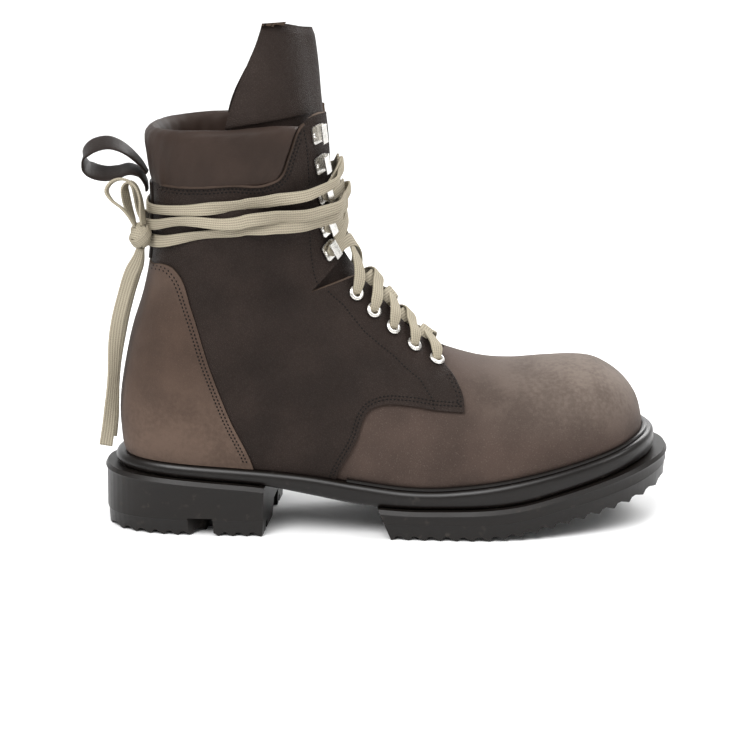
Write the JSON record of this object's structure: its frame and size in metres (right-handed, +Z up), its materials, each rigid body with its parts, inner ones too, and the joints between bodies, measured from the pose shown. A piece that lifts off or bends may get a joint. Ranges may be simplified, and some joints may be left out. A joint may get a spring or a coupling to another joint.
{
  "type": "laced army boot",
  "caption": "Tall laced army boot for the right foot, with padded collar, metal eyelets and hooks, wrapped cotton lace, pull loop and lugged rubber sole",
  "frame": {"origin": "middle of the flat on which the heel rests, on the floor plane", "axes": "+X toe, +Y inner side of the foot, +Z up"},
  "size_m": [0.3232, 0.1174, 0.2772],
  "materials": {
    "vamp_leather": "matt nubuck, dark brown grey",
    "quarter_leather": "fine grained leather, matt",
    "counter_nubuck": "matt nubuck, brown",
    "lining_leather": "smooth, matt",
    "midsole_rubber": "satin",
    "outsole_rubber": "matt",
    "lace_cotton": "ribbed flat weave, undyed",
    "eyelet_metal": "bright nickel plate"
  },
  "bodies": {
    "root": {"upper": "vamp_leather", "quarter_outer": "quarter_leather", "quarter_inner": "quarter_leather", "counter": "counter_nubuck", "collar": "counter_nubuck", "tongue": "quarter_leather", "backstay": "lining_leather", "pull_loop": "lining_leather", "insole": "lining_leather", "welt": "midsole_rubber", "midsole": "midsole_rubber", "outsole": "outsole_rubber", "heel": "outsole_rubber", "eyelet_outer_1": "eyelet_metal", "eyelet_outer_2": "eyelet_metal", "eyelet_outer_3": "eyelet_metal", "eyelet_outer_4": "eyelet_metal", "eyelet_outer_5": "eyelet_metal", "eyelet_inner_1": "eyelet_metal", "eyelet_inner_2": "eyelet_metal", "eyelet_inner_3": "eyelet_metal", "eyelet_inner_4": "eyelet_metal", "eyelet_inner_5": "eyelet_metal", "hook_outer_1": "eyelet_metal", "hook_outer_2": "eyelet_metal", "hook_outer_3": "eyelet_metal", "hook_outer_4": "eyelet_metal", "hook_outer_5": "eyelet_metal", "hook_inner_1": "eyelet_metal", "hook_inner_2": "eyelet_metal", "hook_inner_3": "eyelet_metal", "hook_inner_4": "eyelet_metal", "hook_inner_5": "eyelet_metal", "lace": "lace_cotton", "lace_band_1": "lace_cotton", "lace_band_2": "lace_cotton", "lace_band_3": "lace_cotton", "lace_knot": "lace_cotton", "lace_loop_near": "lace_cotton", "lace_loop_far": "lace_cotton", "lace_end_near": "lace_cotton", "lace_end_far": "lace_cotton"}
  },
  "joints": []
}
